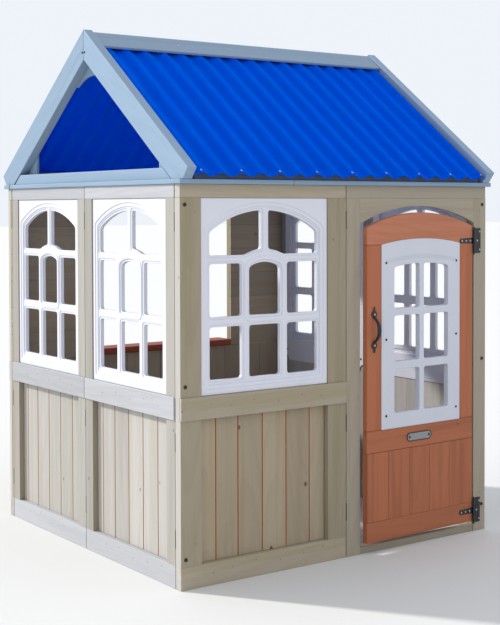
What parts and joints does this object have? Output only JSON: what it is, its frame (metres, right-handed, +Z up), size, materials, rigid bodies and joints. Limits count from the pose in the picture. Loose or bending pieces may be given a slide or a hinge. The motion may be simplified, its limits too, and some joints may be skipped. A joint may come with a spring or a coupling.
{
  "type": "playhouse",
  "caption": "Timber-framed children's playhouse with a corrugated pitched roof, moulded windows, a serving hatch and a hinged arched door.",
  "frame": {"origin": "on the ground in the middle of the floor plan", "axes": "+Z up, -Y towards the door wall, X along the ridge with the door at the +X end"},
  "size_m": [1.068, 1.0637, 1.43],
  "materials": {
    "frame_timber": "grey-beige stain over softwood, satin",
    "board_timber": "grey-beige stain over softwood, satin",
    "roof_timber": "pale blue-grey paint, satin",
    "roof_plastic": "blue translucent-look corrugated sheet, semi-gloss",
    "window_plastic": "white moulded polyethylene, satin",
    "door_timber": "terracotta stain over softwood, satin",
    "counter_timber": "dark terracotta stain over softwood, satin",
    "black_iron": "black powder coat, satin",
    "zinc_steel": "zinc-plated screw heads",
    "nameplate_metal": "cast pewter-look plate, satin"
  },
  "bodies": {
    "house": {"front_stiles": "frame_timber", "front_rails": "frame_timber", "front_boards": "board_timber", "front_window": "window_plastic", "door_frame_stiles": "frame_timber", "door_frame_rail": "frame_timber", "door_frame_arch": "frame_timber", "door_sill": "frame_timber", "left_front_stiles": "frame_timber", "left_front_rails": "frame_timber", "left_front_boards": "board_timber", "left_front_window": "window_plastic", "left_rear_stiles": "frame_timber", "left_rear_rails": "frame_timber", "left_rear_boards": "board_timber", "left_rear_window": "window_plastic", "right_front_stiles": "frame_timber", "right_front_rails": "frame_timber", "right_front_boards": "board_timber", "right_front_window": "window_plastic", "right_rear_stiles": "frame_timber", "right_rear_rails": "frame_timber", "right_rear_boards": "board_timber", "right_rear_window": "window_plastic", "back_left_stiles": "frame_timber", "back_left_rails": "frame_timber", "back_left_boards": "board_timber", "back_right_stiles": "frame_timber", "back_right_rails": "frame_timber", "back_right_boards": "board_timber", "counter": "counter_timber", "counter_brackets": "frame_timber", "hinge_plates": "black_iron", "hinge_pins": "black_iron", "hinge_screws": "zinc_steel", "left_rakes": "roof_timber", "left_tie": "roof_timber", "left_gussets": "roof_timber", "right_rakes": "roof_timber", "right_tie": "roof_timber", "right_gussets": "roof_timber", "roof_sheet_front": "roof_plastic", "roof_sheet_back": "roof_plastic", "ridge_caps": "roof_timber", "ridge_beam": "roof_timber", "eave_plates": "roof_timber", "gable_plates": "roof_timber", "eave_battens": "roof_timber", "wall_bolts": "black_iron"},
    "door": {"door_stiles": "door_timber", "door_top_rail": "door_timber", "door_mid_rail": "door_timber", "door_bottom_rail": "door_timber", "door_boards": "door_timber", "door_window": "window_plastic", "door_handle": "black_iron", "door_nameplate": "nameplate_metal", "door_screws": "black_iron", "hinge_straps": "black_iron"}
  },
  "joints": [
    {"name": "door_hinge", "type": "hinge", "parent": "house", "child": "door", "pos_m": [0.4765, -0.4912, 0.4535], "axis": [0, 0, 1], "range_deg": [-2.5, 100]}
  ]
}
